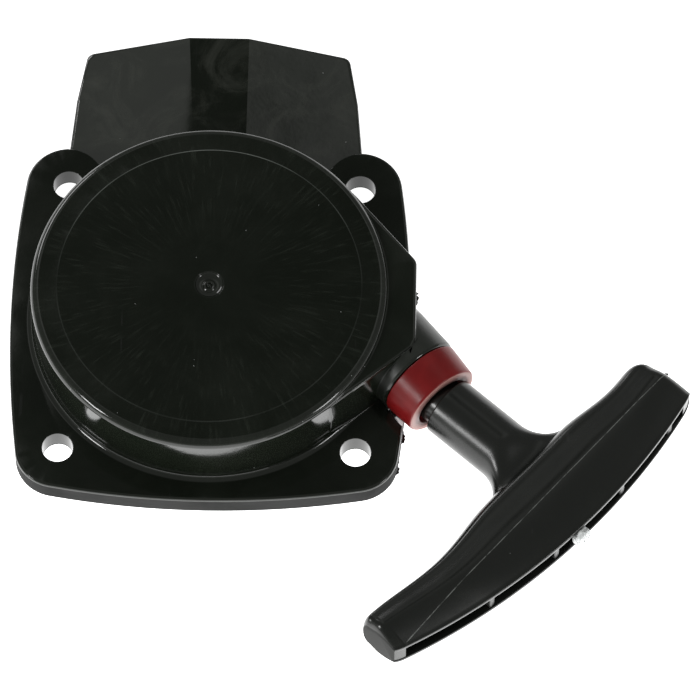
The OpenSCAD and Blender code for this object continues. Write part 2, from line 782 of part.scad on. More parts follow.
module handle_knot() {
    color(nylon) at_handle() {
        translate([knot_d, 0, 0]) hull() {
            for (s = [-1, 1]) translate([0, s * knot_lobe_e, 0]) sphere(r = knot_lobe_r, $fn = 24);
        }
        // Loose end of the rope, leaning towards the slot's mouth
        translate([knot_d, 0, 0]) rotate([0, 0, atan2(knot_e, grip_apex_d + 2.2 - knot_d)]) rotate([0, 90, 0])
            cylinder(d = rope_d, h = grip_apex_d + 1.6 - knot_d);
    }
}

housing();
post_bush();
spring_case();
mainspring();
rope_eyelet();
rope_bumper();
retaining_washer();
centre_screw();
reel();
spring_anchor_pin();
rope_coil();
reel_knot();
pawl_pins();
pawl_a();
pawl_b();
pawl_spring_a();
pawl_spring_b();
friction_spring();
pawl_guide();
rope_lead();
handle_grip();
rope_in_stem();
knot_plate();
handle_knot();
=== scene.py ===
"""Recoil starter of a small engine, lying cup upwards on a pale studio floor."""
import math
import random

import bpy
from mathutils import Matrix, Quaternion, Vector, noise


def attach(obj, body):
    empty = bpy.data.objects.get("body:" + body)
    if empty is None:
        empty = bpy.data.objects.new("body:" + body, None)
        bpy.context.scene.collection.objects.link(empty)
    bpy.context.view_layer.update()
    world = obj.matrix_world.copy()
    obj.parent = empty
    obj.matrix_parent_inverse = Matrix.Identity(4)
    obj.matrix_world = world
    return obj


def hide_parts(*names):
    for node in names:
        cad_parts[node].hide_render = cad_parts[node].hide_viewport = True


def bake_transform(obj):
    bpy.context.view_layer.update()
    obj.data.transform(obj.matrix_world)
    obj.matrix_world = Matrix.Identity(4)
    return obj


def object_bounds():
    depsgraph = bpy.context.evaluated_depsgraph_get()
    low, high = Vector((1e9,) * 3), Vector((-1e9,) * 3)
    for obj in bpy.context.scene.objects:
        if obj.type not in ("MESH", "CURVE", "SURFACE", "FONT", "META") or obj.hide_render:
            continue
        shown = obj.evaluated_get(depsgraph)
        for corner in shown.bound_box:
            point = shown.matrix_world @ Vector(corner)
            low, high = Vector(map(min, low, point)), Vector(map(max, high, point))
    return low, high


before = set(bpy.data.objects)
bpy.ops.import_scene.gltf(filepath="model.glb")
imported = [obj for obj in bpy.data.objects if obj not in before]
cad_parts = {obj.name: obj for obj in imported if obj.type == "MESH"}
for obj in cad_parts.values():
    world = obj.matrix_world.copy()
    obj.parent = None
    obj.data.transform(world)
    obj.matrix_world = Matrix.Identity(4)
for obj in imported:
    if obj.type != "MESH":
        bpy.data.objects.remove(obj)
cad_low, cad_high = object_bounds()
MM = 0.001
random.seed(7)

# ---------------------------------------------------------------- sizes shared with the CAD source, in mm

OUTLET_ANGLE = -49.7
OUTLET_OFFSET = 27.5
ROPE_Z = 10.9
ROPE_R = 1.5
OUTLET_END = 46.8
BUMPER_END = OUTLET_END + 0.05 + 8.4
HANDLE_ANGLE = -41.0
STEM_R = 7.5
GRIP_NEAR = 58.0
GRIP_FAR = 39.3
GRIP_T = 15.0
SLOT_H = 5.4
SLOT_FLOOR = 4.2
KNOT_SEAT_D = 36.0
BOLT_HALF_PITCH = 36.0
BOLT_CLEAR = 4.5


def outlet_point(u, n):
    """Plan point from outlet coordinates: u along the outlet, n across it."""
    a = math.radians(OUTLET_ANGLE)
    return (u * math.cos(a) - n * math.sin(a), u * math.sin(a) + n * math.cos(a))


def outlet_matrix(u=0.0):
    """Local Z runs outwards along the rope outlet, local X points down."""
    x, y = outlet_point(u, OUTLET_OFFSET)
    turn = Matrix.Rotation(math.radians(OUTLET_ANGLE), 4, "Z") @ Matrix.Rotation(math.pi / 2, 4, "Y")
    return Matrix.Translation((x * MM, y * MM, ROPE_Z * MM)) @ turn


def handle_matrix():
    """Local X runs along the stem from the bumper's face, local Y across it."""
    x, y = outlet_point(BUMPER_END, OUTLET_OFFSET)
    turn = Matrix.Rotation(math.radians(HANDLE_ANGLE), 4, "Z")
    return Matrix.Translation((x * MM, y * MM, ROPE_Z * MM)) @ turn


# ---------------------------------------------------------------- camera

# Angles in degrees, target and distance in metres, and a lens in mm for a sensor 36 mm wide
VIEW_AZIMUTH = 0.714
VIEW_ELEVATION = 63.298
VIEW_ROLL = 0.301
VIEW_TARGET = Vector((34.168, -5.351, 0.0)) * MM
VIEW_DISTANCE = 1.5
VIEW_LENS = 315.39


def direction(azimuth, elevation):
    """Unit vector towards a place round the object; azimuth 0 is the near side."""
    a, e = math.radians(azimuth), math.radians(elevation)
    return Vector((math.sin(a) * math.cos(e), -math.cos(a) * math.cos(e), math.sin(e)))


def add_camera():
    """The photograph's camera, fitted to the four bolt holes."""
    data = bpy.data.cameras.new("camera")
    data.lens = VIEW_LENS
    data.sensor_width = 36
    data.clip_start = 0.05
    data.clip_end = 50
    camera = bpy.data.objects.new("camera", data)
    bpy.context.scene.collection.objects.link(camera)
    back = direction(VIEW_AZIMUTH, VIEW_ELEVATION)
    camera.location = VIEW_TARGET + back * VIEW_DISTANCE
    camera.rotation_mode = "QUATERNION"
    roll = Quaternion((0, 0, 1), math.radians(VIEW_ROLL))
    camera.rotation_quaternion = (-back).to_track_quat("-Z", "Y") @ roll
    bpy.context.scene.camera = camera


# ---------------------------------------------------------------- node helpers

class Tree:
    """Short calls that add nodes to a shader tree."""

    def __init__(self, tree):
        self.tree = tree
        tree.nodes.clear()

    def node(self, kind, inputs=None, **settings):
        """Adds a node. An input is another node's output or a plain value."""
        made = self.tree.nodes.new(kind)
        for name, value in settings.items():
            setattr(made, name, value)
        for key, value in (inputs or {}).items():
            socket = made.inputs[key]
            if isinstance(value, bpy.types.NodeSocket):
                self.tree.links.new(value, socket)
            else:
                socket.default_value = value
        return made

    def math(self, operation, *values):
        return self.node("ShaderNodeMath", dict(enumerate(values)), operation=operation).outputs[0]

    def noise(self, vector, scale, detail=2.0, roughness=0.5, distortion=0.0):
        inputs = {
            "Vector": vector,
            "Scale": scale,
            "Detail": detail,
            "Roughness": roughness,
            "Distortion": distortion,
        }
        return self.node("ShaderNodeTexNoise", inputs).outputs["Fac"]

    def ramp(self, value, low, high, low_out=0.0, high_out=1.0):
        """Smooth step from low_out at low to high_out at high."""
        inputs = {"Value": value, "From Min": low, "From Max": high, "To Min": low_out, "To Max": high_out}
        return self.node("ShaderNodeMapRange", inputs, interpolation_type="SMOOTHSTEP").outputs[0]

    def mix(self, factor, first, second):
        """First where the factor is 0, second where it is 1."""
        return self.node("ShaderNodeMix", {0: factor, 6: first, 7: second}, data_type="RGBA").outputs[2]

    def between(self, value, low, high, dark, pale):
        """Colour that goes from dark to pale as a value goes from low to high."""
        return self.mix(self.ramp(value, low, high), colour(*dark), colour(*pale))

    def coordinates(self, scale=(1, 1, 1)):
        """Place in metres, multiplied by a scale along each axis."""
        place = self.node("ShaderNodeTexCoord").outputs["Object"]
        return self.node("ShaderNodeMapping", {"Vector": place, "Scale": scale}).outputs[0]

    def along(self, place, matrix, axis):
        """Distance in metres along one axis of a matrix, from its origin."""
        way = matrix.to_3x3().col[axis]
        dot = self.node("ShaderNodeVectorMath", {0: place, 1: way}, operation="DOT_PRODUCT").outputs["Value"]
        return self.math("SUBTRACT", dot, matrix.translation.dot(way))

    def band(self, value, centre, half, soft):
        """1 within half of centre, fading to 0 over soft."""
        off = self.math("ABSOLUTE", self.math("SUBTRACT", value, centre))
        return self.ramp(off, half, half + soft, 1.0, 0.0)

    def length(self, x, y):
        """Length of a vector with two components."""
        return self.math("SQRT", self.math("ADD", self.math("POWER", x, 2.0), self.math("POWER", y, 2.0)))

    def add(self, value, mask, amount):
        """Adds an amount to a value where the mask is 1."""
        return self.math("ADD", value, self.math("MULTIPLY", mask, amount))

    def both(self, *masks):
        """1 where every mask is 1."""
        result = masks[0]
        for mask in masks[1:]:
            result = self.math("MULTIPLY", result, mask)
        return result

    def bump(self, height, distance, strength=1.0, normal=None):
        inputs = {"Height": height, "Distance": distance, "Strength": strength}
        if normal is not None:
            inputs["Normal"] = normal
        return self.node("ShaderNodeBump", inputs).outputs[0]

    def principled(self, inputs):
        """Ends the material in a Principled shader with these inputs."""
        shader = self.node("ShaderNodeBsdfPrincipled", inputs)
        self.node("ShaderNodeOutputMaterial", {"Surface": shader.outputs[0]})


def new_material(name):
    """A material and its empty tree."""
    material = bpy.data.materials.new(name)
    material.use_nodes = True
    return material, Tree(material.node_tree)


def colour(r, g, b):
    return (r, g, b, 1.0)


# ---------------------------------------------------------------- materials

# Share of the cells that carry no speck of dust
DUST_FREE = 0.84


def dust(t, place, scale, size):
    """Sparse specks: 1 on a speck, 0 elsewhere."""
    cell = t.node("ShaderNodeTexVoronoi", {"Vector": place, "Scale": scale, "Randomness": 1.0})
    near = t.ramp(cell.outputs["Distance"], size, size * 0.6)
    pick = t.node("ShaderNodeSeparateColor", {"Color": cell.outputs["Color"]})
    return t.math("MULTIPLY", near, t.math("GREATER_THAN", pick.outputs[0], DUST_FREE))


def scratches(t, turn, scale):
    """Fine straight hairlines in one direction."""
    place = t.node("ShaderNodeTexCoord").outputs["Object"]
    lined = t.node("ShaderNodeMapping", {"Vector": place, "Rotation": (0, 0, turn), "Scale": (1, 0.03, 1)})
    lines = t.noise(lined.outputs[0], scale, 1.0)
    broken = t.noise(t.coordinates(), 90, 2.0)
    return t.math("MULTIPLY", t.ramp(lines, 0.735, 0.76), t.ramp(broken, 0.55, 0.62))


def plastic_shader(t, place, tint, rough, dust_share=1.0):
    """Adds hairlines, dust and a faint wave to a plastic's colour and roughness, and makes the shader."""
    speck = t.math("MULTIPLY", dust(t, place, 340, 0.042), dust_share)
    line = t.math("MAXIMUM", scratches(t, 0.5, 700), scratches(t, -0.9, 560))
    tint = t.mix(t.math("MULTIPLY", line, 0.3), tint, colour(0.03, 0.03, 0.03))
    tint = t.mix(speck, tint, colour(0.45, 0.46, 0.46))
    rough = t.add(rough, speck, 0.4)
    wave = t.bump(t.noise(place, 55, 2.0), 0.00035, 0.25)
    grain = t.bump(t.noise(place, 900, 2.0), 0.00002, 0.35, wave)
    t.principled({"Base Color": tint, "Roughness": rough, "Normal": grain, "IOR": 1.5})


def cloudy(t, place):
    """Slow cloudy change over moulded plastic."""
    return t.noise(place, 38, detail=5.0, roughness=0.6, distortion=0.6)


def black_plastic(name, dark, pale, rough_low, rough_high):
    """Moulded black plastic with cloudy scuffs, hairlines and dust."""
    material, t = new_material(name)
    place = t.coordinates()
    cloud = cloudy(t, place)
    tint = t.between(cloud, 0.35, 0.75, dark, pale)
    plastic_shader(t, place, tint, t.ramp(cloud, 0.3, 0.8, rough_low, rough_high))
    return material


# Places on the housing, in metres
RING_LINE_R = 0.0369
RING_LINE_HALF = 0.00010
RING_LINE_SOFT = 0.00008
CUP_TOP_Z = 0.0230
FLANGE_EDGE_TOP = 0.0053
SHROUD_START_Y = 0.045
TUBE_R = 0.01075
TUBE_SKIN = 0.00006
TUBE_START_U = 0.034


def flow_streaks(t, x, y, z, reach):
    """Fine lines running out from the middle of the closed face."""
    angle = t.math("ARCTAN2", y, x)
    ray = t.node(
        "ShaderNodeCombineXYZ",
        {"X": t.math("COSINE", angle), "Y": t.math("SINE", angle), "Z": t.math("MULTIPLY", reach, 4.0)},
    )
    rays = t.noise(ray.outputs[0], 40, 3.0, 0.65)
    on_face = t.both(t.ramp(z, CUP_TOP_Z - 0.0002, CUP_TOP_Z + 0.0002), t.ramp(reach, 0.006, 0.022))
    return t.both(t.ramp(rays, 0.5, 0.8), on_face)


def hole_distance(t, x, y):
    """Distance from the nearest bolt hole's axis."""
    dx = t.math("SUBTRACT", t.math("ABSOLUTE", x), BOLT_HALF_PITCH * MM)
    dy = t.math("SUBTRACT", t.math("ABSOLUTE", y), BOLT_HALF_PITCH * MM)
    return t.length(dx, dy)


def ring_line_highlight(t, place, y, z, reach):
    """A painted highlight: a fine broken pale line near the closed face's rim, fainter on the near side."""
    on_top = t.ramp(z, CUP_TOP_Z, CUP_TOP_Z + 0.0003)
    gaps = t.ramp(t.noise(place, 60, 2.0), 0.3, 0.6, 0.3, 1.0)
    fade = t.ramp(y, 0.008, 0.030, 0.16, 1.0)
    return t.both(t.band(reach, RING_LINE_R, RING_LINE_HALF, RING_LINE_SOFT), on_top, gaps, fade)


def flange_edge(t, z, from_hole):
    """Upright sides of the flange, away from the bolt holes."""
    normal = t.node("ShaderNodeNewGeometry").outputs["True Normal"]
    level = t.math("ABSOLUTE", t.node("ShaderNodeSeparateXYZ", {"Vector": normal}).outputs[2])
    side = t.both(t.ramp(level, 0.55, 0.45), t.ramp(z, FLANGE_EDGE_TOP, FLANGE_EDGE_TOP - 0.0002))
    return t.both(side, t.ramp(from_hole, BOLT_CLEAR * MM, (BOLT_CLEAR + 0.2) * MM))


def outlet_tube(t, place, z):
    """Skin of the rope outlet's tube."""
    u = t.along(place, outlet_matrix(), 2)
    across = t.along(place, outlet_matrix(), 1)
    above = t.math("SUBTRACT", z, ROPE_Z * MM)
    skin = t.band(t.length(across, above), TUBE_R, TUBE_SKIN, TUBE_SKIN)
    return t.both(skin, t.ramp(u, TUBE_START_U, TUBE_START_U + 0.002))


def housing_plastic_material():
    """Glossy black: streaks and a painted ring-line highlight on the cup, scuffed facets on the shroud with a
    painted reflection, a dull flange edge.
    """
    material, t = new_material("housing_black")
    place = t.coordinates()
    x, y, z = t.node("ShaderNodeSeparateXYZ", {"Vector": place}).outputs
    reach = t.length(x, y)
    cloud = cloudy(t, place)
    tint = t.between(cloud, 0.35, 0.75, (0.0054, 0.0074, 0.0046), (0.0084, 0.0108, 0.0072))
    tint = t.mix(flow_streaks(t, x, y, z, reach), tint, colour(0.019, 0.023, 0.0175))
    rough = t.ramp(cloud, 0.3, 0.8, 0.07, 0.15)

    # The pale ring line is a painted highlight, fainter on the near side.
    ring = ring_line_highlight(t, place, y, z, reach)
    tint = t.mix(ring, tint, colour(0.13, 0.14, 0.13))
    rough = t.add(rough, ring, 0.2)

    smudge_and_sheen = t.ramp(t.noise(place, 62, detail=7.0, roughness=0.68, distortion=1.4), 0.44, 0.72)
    # On the shroud the same patches are painted paler still: a painted reflection on its facets, over the
    # all-over scuffs.
    shroud_sheen = t.both(t.ramp(y, SHROUD_START_Y, SHROUD_START_Y + 0.004), smudge_and_sheen)
    tint = t.mix(t.math("MULTIPLY", smudge_and_sheen, 0.35), tint, colour(0.013, 0.0155, 0.0115))
    tint = t.mix(shroud_sheen, tint, colour(0.026, 0.0285, 0.023))
    rough = t.add(rough, shroud_sheen, 0.07)

    from_hole = hole_distance(t, x, y)
    edge = flange_edge(t, z, from_hole)
    scuffed = t.between(t.noise(place, 240, 3.0), 0.45, 0.7, (0.003, 0.0036, 0.003), (0.007, 0.007, 0.007))
    tint = t.mix(edge, tint, scuffed)
    rough = t.mix(edge, rough, t.ramp(cloud, 0.3, 0.8, 0.82, 1.0))
    rough = t.add(rough, outlet_tube(t, place, z), 0.26)

    in_hole = t.ramp(from_hole, BOLT_CLEAR * MM, (BOLT_CLEAR - 0.2) * MM)
    rough = t.mix(t.both(in_hole, t.ramp(z, 0.0007, 0.0004)), rough, colour(0.7, 0.7, 0.7))
    plastic_shader(t, place, tint, rough)
    return material


# The grip's parting line, in metres along (d) and across (e) the handle
PARTING_D = 0.0372
PARTING_HALF = 0.00006
PARTING_SOFT = 0.00008
PARTING_FROM_E = -0.0553
PARTING_TO_E = 0.0397
PARTING_FADE = 0.002


def handle_plastic_material():
    """Black plastic with a broken whitish parting line along the grip and a dull near end."""
    material, t = new_material("handle_black")
    place = t.coordinates()
    d, e, z = (t.along(place, handle_matrix(), axis) for axis in range(3))
    cloud = cloudy(t, place)
    tint = t.between(cloud, 0.35, 0.75, (0.003, 0.0038, 0.0028), (0.005, 0.0058, 0.0046))
    rough = t.ramp(cloud, 0.3, 0.8, 0.21, 0.31)

    wander = t.math("MULTIPLY", t.math("SUBTRACT", t.noise(place, 45, 2.0), 0.5), 0.0005)
    line = t.band(t.math("ADD", d, wander), PARTING_D, PARTING_HALF, PARTING_SOFT)
    start = t.ramp(e, PARTING_FROM_E, PARTING_FROM_E + PARTING_FADE)
    span = t.both(start, t.ramp(e, PARTING_TO_E, PARTING_TO_E - PARTING_FADE))
    gaps = t.ramp(t.noise(place, 330, 3.0, 0.7), 0.34, 0.6, 0.15, 1.0)
    line = t.both(line, span, gaps, t.ramp(z, 0.004, 0.0045))
    tint = t.mix(line, tint, colour(0.15, 0.155, 0.15))
    rough = t.add(rough, line, 0.3)

    cap = t.ramp(e, -(GRIP_NEAR - 0.35) * MM, -(GRIP_NEAR - 0.1) * MM)
    tint = t.mix(cap, tint, colour(0.006, 0.0065, 0.0055))
    rough = t.mix(cap, rough, colour(0.8, 0.8, 0.8))
    plastic_shader(t, place, tint, rough, dust_share=0.6)
    return material


def rubber(name, dark, pale, rough_low, rough_high, end_face=False):
    """Coloured soft plastic with faint mottling, and with end_face a painted sheen that makes its end face
    paler.
    """
    material, t = new_material(name)
    place = t.coordinates()
    cloud = t.noise(place, 120, 4.0, 0.6)
    tint = t.between(cloud, 0.3, 0.75, dark, pale)
    speck = dust(t, place, 320, 0.05)
    tint = t.mix(speck, tint, colour(0.6, 0.45, 0.45))
    if end_face:
        u = t.along(place, outlet_matrix(), 2)
        # Painted sheen: the bumper's end face is coloured paler, as if lit.
        end_face_sheen = t.ramp(u, (BUMPER_END - 0.18) * MM, (BUMPER_END - 0.06) * MM)
        tint = t.mix(end_face_sheen, tint, colour(0.46, 0.23, 0.21))
    t.principled({
        "Base Color": tint,
        "Roughness": t.ramp(cloud, 0.3, 0.8, rough_low, rough_high),
        "Normal": t.bump(t.noise(place, 1400, 3.0), 0.00003, 0.4),
        "Specular IOR Level": 0.28,
    })
    return material


def metal(name, dark, pale, rough_low, rough_high):
    """Brushed metal: fine lines across one axis and slow colour changes."""
    material, t = new_material(name)
    brushed = t.noise(t.coordinates((1, 1, 14)), 700, 3.0)
    cloud = t.noise(t.coordinates(), 140, 3.0)
    t.principled({
        "Base Color": t.between(cloud, 0.3, 0.75, dark, pale),
        "Metallic": 1.0,
        "Roughness": t.ramp(brushed, 0.3, 0.8, rough_low, rough_high),
        "Normal": t.bump(brushed, 0.00002, 0.4),
    })
    return material


def braid(name, dark, pale):
    """Braided nylon cord: two sets of crossing diagonal strands."""
    material, t = new_material(name)
    sets = []
    for way in (1, -1):
        inputs = {"Vector": t.coordinates((way, 1, 1)), "Scale": 260.0, "Distortion": 1.5, "Detail": 1.0}
        sets.append(t.node("ShaderNodeTexWave", inputs, bands_direction="DIAGONAL").outputs["Fac"])
    strands = t.math("MAXIMUM", *sets)
    t.principled({
        "Base Color": t.between(strands, 0.3, 0.95, dark, pale),
        "Roughness": t.ramp(strands, 0.2, 0.9, 0.7, 0.5),
        "Normal": t.bump(strands, 0.0002, 0.7),
    })
    return material


def melted_nylon(name):
    """Heat-sealed rope end: whitish and slightly translucent."""
    material, t = new_material(name)
    cloud = t.noise(t.coordinates(), 420, 4.0, 0.6)
    t.principled({
        "Base Color": t.between(cloud, 0.3, 0.75, (0.66, 0.68, 0.69), (0.9, 0.92, 0.93)),
        "Roughness": t.ramp(cloud, 0.3, 0.8, 0.25, 0.5),
        "Normal": t.bump(cloud, 0.0003, 0.6),
        "Transmission Weight": 0.08,
        "Subsurface Weight": 0.3,
        "Subsurface Radius": (0.002, 0.002, 0.002),
    })
    return material


# ---------------------------------------------------------------- studio

FLOOR_GLOW_NEAR = 2.0
FLOOR_GLOW_FAR = 1.05
FLOOR_REACH = 12.0
FLOOR_Z = -0.00003


def add_floor():
    """Pale paper that glows as painted light, brighter on the near side."""
    mesh = bpy.data.meshes.new("floor")
    signs = ((-1, -1), (1, -1), (1, 1), (-1, 1))
    corners = [(x * FLOOR_REACH, y * FLOOR_REACH, FLOOR_Z) for x, y in signs]
    mesh.from_pydata(corners, [], [(0, 1, 2, 3)])
    floor = bpy.data.objects.new("floor", mesh)
    bpy.context.scene.collection.objects.link(floor)
    material, t = new_material("floor_paper")
    mottle = t.noise(t.coordinates(), 3.0, 2.0)
    split = t.node("ShaderNodeSeparateXYZ", {"Vector": t.coordinates()})
    # The emission is painted light: the floor shines by itself, brighter on the near side than behind.
    glow = t.ramp(split.outputs[1], -0.03, 0.03, FLOOR_GLOW_NEAR, FLOOR_GLOW_FAR)
    paper = t.mix(mottle, colour(0.8, 0.8, 0.8), colour(0.84, 0.84, 0.84))
    t.principled({
        "Base Color": paper,
        "Roughness": 0.9,
        "Emission Color": colour(1, 1, 1),
        "Emission Strength": glow,
    })
    mesh.materials.append(material)


# Sky above the object: levels of light, and angles in degrees
OVERHEAD = 0.3
LOBE_LEVEL = 0.66
LOBE_LEAN = 14.0
LOBE_INNER = 9.0
LOBE_OUTER = 15.0
PATCH_LEVEL = 0.15
PATCH_ELEVATION = 63.5
PATCH_INNER = 5.0
PATCH_OUTER = 9.5


def near_way(t, way, centre, outer, inner, low_out, high_out):
    """Level high_out within inner degrees of a direction, and low_out beyond outer degrees."""
    dot = t.node("ShaderNodeVectorMath", {0: way, 1: centre}, operation="DOT_PRODUCT").outputs["Value"]
    return t.ramp(dot, math.cos(math.radians(outer)), math.cos(math.radians(inner)), low_out, high_out)


def add_world():
    """Soft room light: pale low down on the near side, dimmer behind, with a dark patch high up behind."""
    world = bpy.data.worlds.new("studio")
    world.use_nodes = True
    bpy.context.scene.world = world
    t = Tree(world.node_tree)
    way = t.node("ShaderNodeTexCoord").outputs["Generated"]
    split = t.node("ShaderNodeSeparateXYZ", {"Vector": way})
    low_level = t.ramp(split.outputs[1], -0.5, 0.5, 0.9, 0.22)
    patch_way = direction(180, PATCH_ELEVATION)
    lobes = []
    for lean in (-LOBE_LEAN, LOBE_LEAN):
        lobe_way = Matrix.Rotation(math.radians(lean), 3, "Y") @ patch_way
        lobes.append(near_way(t, way, lobe_way, LOBE_OUTER, LOBE_INNER, OVERHEAD, LOBE_LEVEL))
    height = t.ramp(split.outputs[2], 0.0, 0.5)
    levels = {0: height, 2: low_level, 3: t.math("MAXIMUM", *lobes)}
    level = t.node("ShaderNodeMix", levels, data_type="FLOAT").outputs[0]
    patch = near_way(t, way, patch_way, PATCH_OUTER, PATCH_INNER, 1.0, PATCH_LEVEL)
    strength = t.math("MULTIPLY", level, patch)
    shader = t.node("ShaderNodeBackground", {"Color": colour(0.97, 1.0, 0.95), "Strength": strength})
    t.node("ShaderNodeOutputWorld", {"Surface": shader.outputs[0]})


def add_light(name, azimuth, elevation, distance, size, power, size_y=None):
    """A soft rectangular lamp that faces the middle of the object."""
    data = bpy.data.lights.new(name, "AREA")
    data.shape = "RECTANGLE"
    data.size = size
    data.size_y = size_y or size
    data.energy = power
    light = bpy.data.objects.new(name, data)
    bpy.context.scene.collection.objects.link(light)
    way = direction(azimuth, elevation)
    centre = (cad_low + cad_high) / 2
    light.location = centre + way * distance
    light.rotation_mode = "QUATERNION"
    light.rotation_quaternion = (-way).to_track_quat("-Z", "Y")


def add_studio():
    """Floor, sky and three soft lamps."""
    add_floor()
    add_world()
    add_light("left_lamp", -61, 28, 1.4, 0.28, 5)
    add_light("right_lamp", 61, 28, 1.4, 0.28, 3)
    add_light("back_box", -140, 26, 1.6, 0.7, 5, 0.4)
    bpy.context.scene.view_settings.view_transform = "Standard"


# ---------------------------------------------------------------- mesh helpers

SMOOTH_ANGLE = math.radians(40)


def add_mesh(name, points, faces, matrix, material):
    """Makes a mesh object from points in mm."""
    mesh = bpy.data.meshes.new(name)
    mesh.from_pydata([Vector(p) * MM for p in points], [], faces)
    mesh.transform(matrix)
    mesh.validate()
    mesh.polygons.foreach_set("use_smooth", [True] * len(mesh.polygons))
    mesh.set_sharp_from_angle(angle=SMOOTH_ANGLE)
    mesh.materials.append(material)
    obj = bpy.data.objects.new(name, mesh)
    bpy.context.scene.collection.objects.link(obj)
    return obj


def loft(rings, caps=True):
    """Points and faces of a skin over closed rings of equal length."""
    count = len(rings[0])
    points = [p for ring in rings for p in ring]
    faces = []
    for i in range(len(rings) - 1):
        for k in range(count):
            after = (k + 1) % count
            faces.append((i * count + k, i * count + after, (i + 1) * count + after, (i + 1) * count + k))
    if caps:
        faces.append(tuple(range(count - 1, -1, -1)))
        faces.append(tuple((len(rings) - 1) * count + k for k in range(count)))
    return points, faces


def join_parts(parts):
    """One list of points and faces from several."""
    points, faces = [], []
    for part_points, part_faces in parts:
        start = len(points)
        points += part_points
        faces += [tuple(i + start for i in face) for face in part_faces]
    return points, faces


def arc(x, y, r, start, end, steps):
    """Points round a centre from a start angle to an end angle, in degrees."""
    angles = [math.radians(start + (end - start) * i / steps) for i in range(steps + 1)]
    return [(x + r * math.cos(a), y + r * math.sin(a)) for a in angles]


def turns(sides):
    """Angles of a ring's points, in radians."""
    return [2 * math.pi * k / sides for k in range(sides)]


# ---------------------------------------------------------------- handle

# The grip's coordinates, in mm: d along the stem, e along the grip, z up
GRIP_APEX = (48.3, 4.0)
GRIP_ARC_R = 172.0
GRIP_INNER = [(-GRIP_NEAR, 25.3), (-33, 27.95), (-14, 26.4), (11, 26.8), (28, 28.65), (GRIP_FAR, 28.0)]
INNER_ROUND = 0.16
RIDGE_AT = 0.46
SHOULDER_H = 0.88
LIP_HALF = 3.9
LIP_EDGE_R = 0.35
SLOT_EDGE_R = 0.2
LEAST_LIP = 0.35
LEAST_SLOT = 0.22
# Steps over a section's skin, and how much they crowd towards the inner edge
SKIN_STEPS = 34
SKIN_CROWD = 1.7
# Ends: length of the rounding, thickness scale at the tip, the inner edge's draw-in, share of the lip kept
NEAR_END = (2.6, 0.50, 3.0, 0.8)
FAR_END = (3.6, 0.36, 7.0, 0.0)
END_PULL_OUT = 1.4
NEAR_WALL = 2.8
FAR_WALL = 3.6
FAR_SKEW = 1.9
FAR_CORNER = (6.0, 4.5)
SKEW_LEN = 12.0
KNOT_SEAT_HALF = 9.0
# Sections along the grip, in the rounding of each end, and each side of a wall at the slot's end
GRIP_STEPS = 140
END_STEPS = 10
WALL_STEP = 0.02
# Ribs across the slot: places, thickness, gap to the open face, bevel, and how far they sink into the walls
RIB_E = (-31.5, -11.6, 11.6, 31.5)
RIB_T = 1.6
RIB_BACK = 0.5
RIB_BEVEL = 0.25
RIB_SINK_D = 0.5
RIB_SINK_Z = 0.3
NUB_PATH = [(35.6, 39.0, 2.0), (35.75, 40.1, 2.5), (36.1, 40.7, 2.5), (36.5, 41.2, 2.45)]
NUB_RADII = [0.6, 0.4, 0.36, 0.24]


def ease(t):
    """Smooth step from 0 to 1."""
    return (1 - math.cos(math.pi * t)) / 2


def grip_outer(e):
    """The open face's arc."""
    return GRIP_APEX[0] - GRIP_ARC_R + math.sqrt(GRIP_ARC_R ** 2 - (e - GRIP_APEX[1]) ** 2)


def grip_inner(e):
    """The inner edge: smooth steps from point to point."""
    for (e0, d0), (e1, d1) in zip(GRIP_INNER, GRIP_INNER[1:]):
        if e <= e1:
            return d0 + (d1 - d0) * ease((max(e, e0) - e0) / (e1 - e0))
    return GRIP_INNER[-1][1]


def grip_half(s):
    """Half thickness at share s of the way from the inner edge to the open face."""
    full = GRIP_T / 2
    if s < INNER_ROUND:
        return full * SHOULDER_H * math.sqrt(max(0.0, 1 - (1 - s / INNER_ROUND) ** 2))
    if s < RIDGE_AT:
        return full * (SHOULDER_H + (1 - SHOULDER_H) * ease((s - INNER_ROUND) / (RIDGE_AT - INNER_ROUND)))
    return full - (full - LIP_HALF) * ((s - RIDGE_AT) / (1 - RIDGE_AT)) ** 1.5


def end_curve(distance, shape):
    """Thickness scale at a distance from an end."""
    m = max(0.0, distance) / shape[0]
    return 1.0 if m >= 1 else shape[1] + (1 - shape[1]) * math.sqrt(1 - (1 - m) ** 2)


def end_scale(e):
    """Thickness scale at a place along the grip."""
    return min(end_curve(e + GRIP_NEAR, NEAR_END), end_curve(GRIP_FAR - e, FAR_END))


def end_lean(e):
    """How much further out the far end runs at the open face than at the inner edge."""
    return FAR_SKEW * ease(min(1.0, max(0.0, (e - GRIP_FAR) / SKEW_LEN + 1)))


def corner_in(distance, shape):
    """How far the inner edge draws in at a distance from an end: shape is (length, depth) of the rounding."""
    share = min(1.0, max(0.0, 1 - distance / shape[0]))
    return shape[1] * (1 - math.sqrt(1 - share ** 2))


